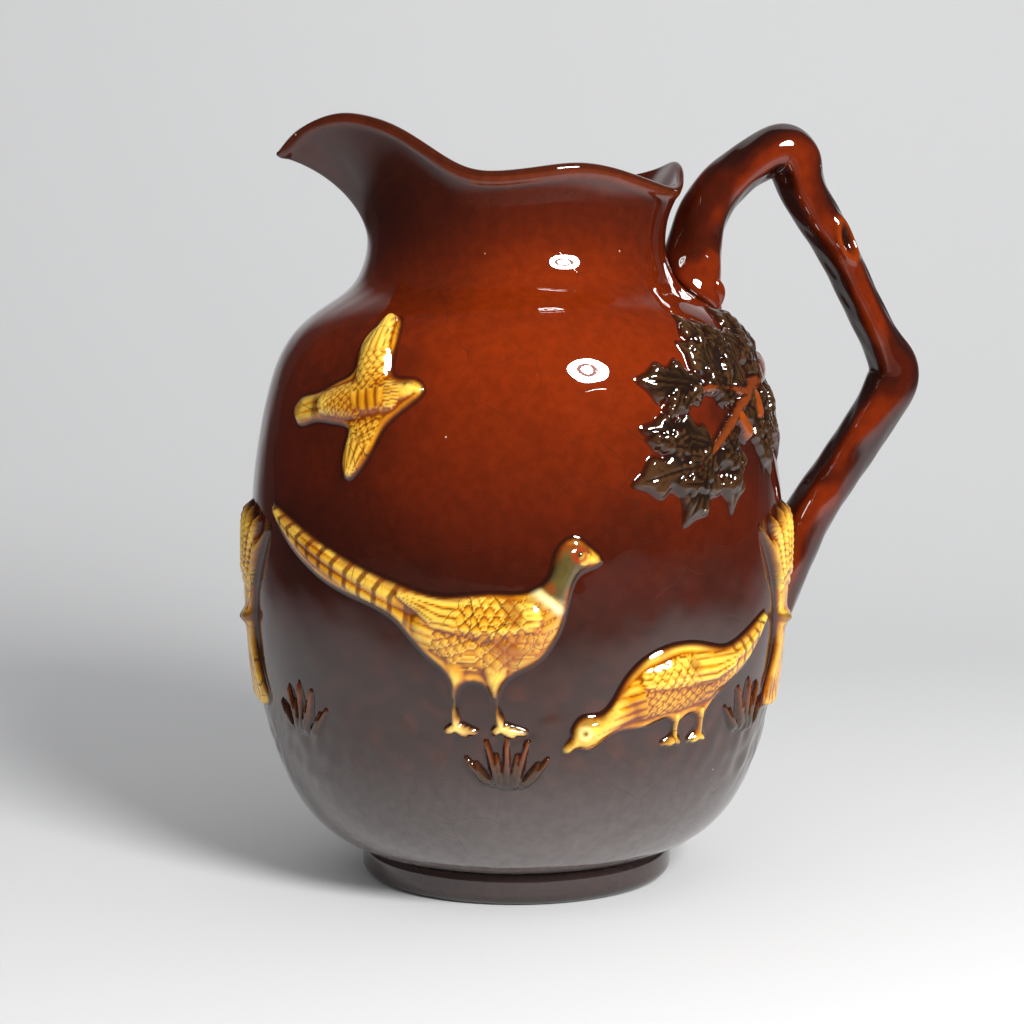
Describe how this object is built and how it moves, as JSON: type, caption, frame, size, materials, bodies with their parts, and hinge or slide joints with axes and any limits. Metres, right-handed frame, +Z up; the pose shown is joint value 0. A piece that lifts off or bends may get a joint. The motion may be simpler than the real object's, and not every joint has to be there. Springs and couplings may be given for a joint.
{
  "type": "whisky jug",
  "caption": "Round-bellied pottery pouring jug with a beaked spout, a bent-twig handle, a foot ring and moulded country reliefs under brown glaze.",
  "frame": {"origin": "middle of the jug's bounding box, on the surface that the foot ring stands on", "axes": "+Z up, the spout points to -X and the handle to +X, and the front relief looks along -Y"},
  "size_m": [0.1782, 0.1402, 0.1903],
  "materials": {
    "treacle_glaze": "high gloss, translucent brown glaze over cream clay, darker where it pools",
    "dark_glaze": "high gloss, dark brown glaze",
    "ochre_glaze": "high gloss, thin ochre glaze over raised clay, brown in the grooves",
    "leaf_glaze": "high gloss, dark olive-brown glaze over moulded leaves"
  },
  "bodies": {
    "root": {"jug_body": "treacle_glaze", "foot_ring": "dark_glaze", "handle": "treacle_glaze", "handle_knot": "treacle_glaze", "handle_bud": "treacle_glaze", "upper_handle_slip": "treacle_glaze", "lower_handle_slip": "treacle_glaze", "cock_pheasant_front": "ochre_glaze", "hen_pheasant_front": "ochre_glaze", "partridge_front": "ochre_glaze", "barley_sheaf_front_1": "ochre_glaze", "barley_sheaf_front_2": "ochre_glaze", "cock_pheasant_back": "ochre_glaze", "hen_pheasant_back": "ochre_glaze", "partridge_back": "ochre_glaze", "barley_sheaf_back_1": "ochre_glaze", "oak_spray_front": "leaf_glaze", "oak_spray_back": "leaf_glaze", "grass_tuft_front_1": "dark_glaze", "grass_tuft_front_2": "dark_glaze", "grass_tuft_front_3": "dark_glaze", "grass_tuft_back_1": "dark_glaze", "grass_tuft_back_2": "dark_glaze", "grass_tuft_back_3": "dark_glaze"}
  },
  "joints": []
}
